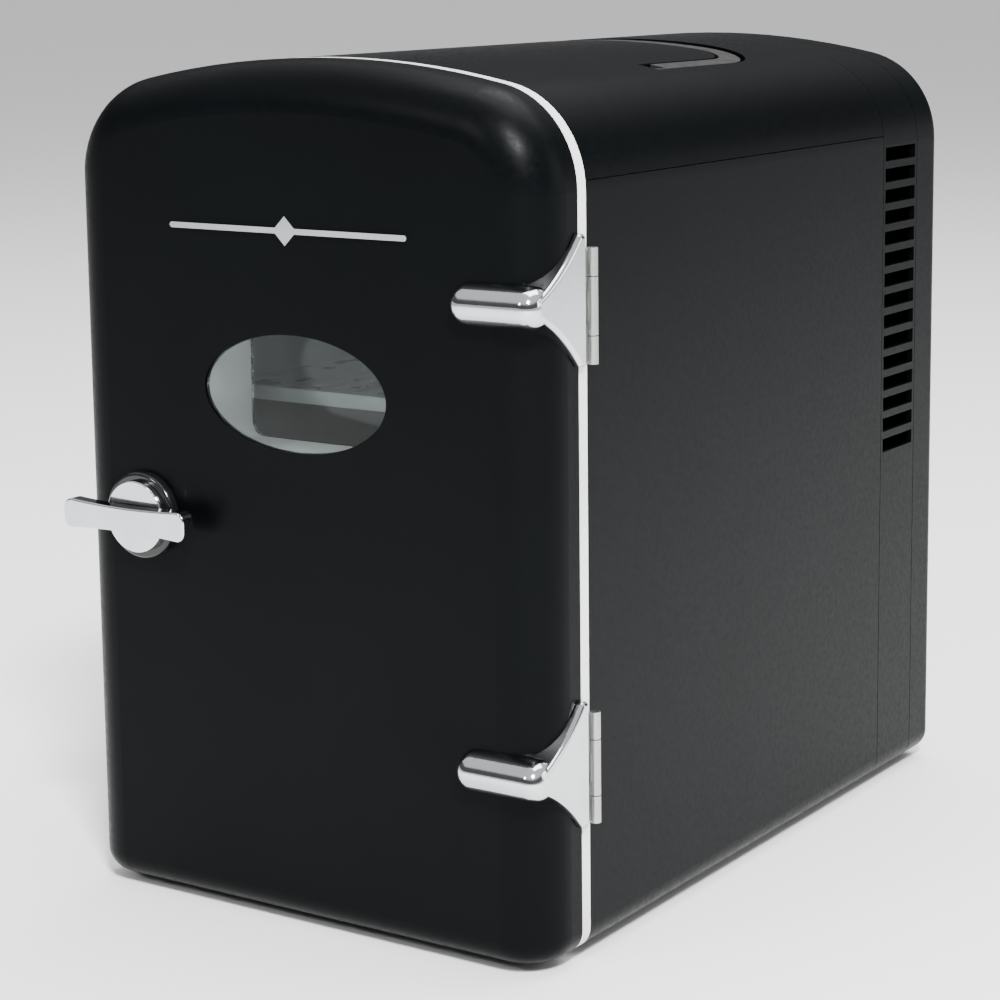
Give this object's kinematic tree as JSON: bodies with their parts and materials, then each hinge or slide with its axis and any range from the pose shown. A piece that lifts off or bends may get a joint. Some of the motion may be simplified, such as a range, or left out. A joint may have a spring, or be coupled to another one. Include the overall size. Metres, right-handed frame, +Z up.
{
  "type": "mini fridge",
  "caption": "Small thermoelectric fridge with a rounded top, an oval window in a hinged door, a turning lever latch and a folding top handle.",
  "frame": {"origin": "floor level under the middle of the cabinet's width, half way between the latch lever's front and the back of the rear cover", "axes": "+Z up, the door faces -Y, +X is the hinge side"},
  "size_m": [0.1867, 0.2896, 0.277],
  "materials": {
    "black_shell": "satin",
    "white_frame": "gloss",
    "chrome": "polished",
    "steel": "satin",
    "liner_plastic": "satin",
    "foam": "matte",
    "rubber": "matte",
    "gasket": "matte",
    "clear": "gloss",
    "aluminium": "satin",
    "ceramic": "matte",
    "circuit_board": "satin",
    "black_plastic": "matte",
    "wire_cover": "satin",
    "lamp": "gloss",
    "gloss_black": "gloss"
  },
  "bodies": {
    "cabinet": {"body_shell": "black_shell", "top_cover": "black_shell", "handle_tray": "black_plastic", "handle_pins": "steel", "rear_housing": "black_shell", "rear_cover": "black_shell", "rear_cover_screws": "steel", "cover_posts": "black_plastic", "front_frame": "white_frame", "latch_strike": "steel", "inner_liner": "liner_plastic", "shelf": "liner_plastic", "insulation": "foam", "cold_fan_grille": "liner_plastic", "cold_fan_frame": "black_plastic", "cold_sink": "aluminium", "peltier_module": "ceramic", "hot_sink": "aluminium", "hot_fan_frame": "black_plastic", "fan_screws": "steel", "power_board": "circuit_board", "board_parts": "black_plastic", "board_posts": "black_plastic", "switch_housing": "black_plastic", "ac_inlet": "black_plastic", "dc_inlet": "black_plastic", "inlet_pins": "steel", "status_lamps": "lamp", "fan_wires": "wire_cover", "rubber_feet": "rubber", "body_leaf_top": "steel", "body_leaf_bottom": "steel", "hinge_pins": "steel"},
    "door": {"door_shell": "black_shell", "door_liner": "white_frame", "door_gasket": "gasket", "door_foam": "foam", "window_lens": "clear", "window_tunnel": "liner_plastic", "window_pane": "clear", "door_badge": "chrome", "latch_escutcheon": "gloss_black", "door_leaf_top": "steel", "door_leaf_bottom": "steel", "hinge_cover_top": "chrome", "hinge_cover_bottom": "chrome"},
    "latch": {"latch_disc": "chrome", "latch_lever": "chrome", "latch_spindle": "steel", "latch_cam": "steel", "latch_nut": "steel"},
    "carry_handle": {"carry_handle": "black_plastic"},
    "switch_rocker": {"switch_rocker": "black_plastic"},
    "cold_fan": {"cold_fan_rotor": "black_plastic"},
    "hot_fan": {"hot_fan_rotor": "black_plastic"}
  },
  "joints": [
    {"name": "door_hinge", "type": "hinge", "parent": "cabinet", "child": "door", "pos_m": [0.0935, -0.1058, 0.1336], "axis": [0, 0, 1], "range_deg": [0, 150]},
    {"name": "latch_turn", "type": "hinge", "parent": "door", "child": "latch", "pos_m": [-0.0613, -0.1383, 0.1295], "axis": [0, -1, 0], "range_deg": [0, 90]},
    {"name": "handle_fold", "type": "hinge", "parent": "cabinet", "child": "carry_handle", "pos_m": [0, -0.0115, 0.26554], "axis": [1, 0, 0], "range_deg": [0, 90]},
    {"name": "switch_tip", "type": "hinge", "parent": "cabinet", "child": "switch_rocker", "pos_m": [-0.038, 0.14, 0.036], "axis": [0, 0, 1], "range_deg": [-12, 12]},
    {"name": "cold_fan_spin", "type": "hinge", "parent": "cabinet", "child": "cold_fan", "pos_m": [0, 0.039, 0.15], "axis": [0, -1, 0], "continuous": true},
    {"name": "hot_fan_spin", "type": "hinge", "parent": "cabinet", "child": "hot_fan", "pos_m": [0, 0.097, 0.15], "axis": [0, 1, 0], "continuous": true}
  ]
}
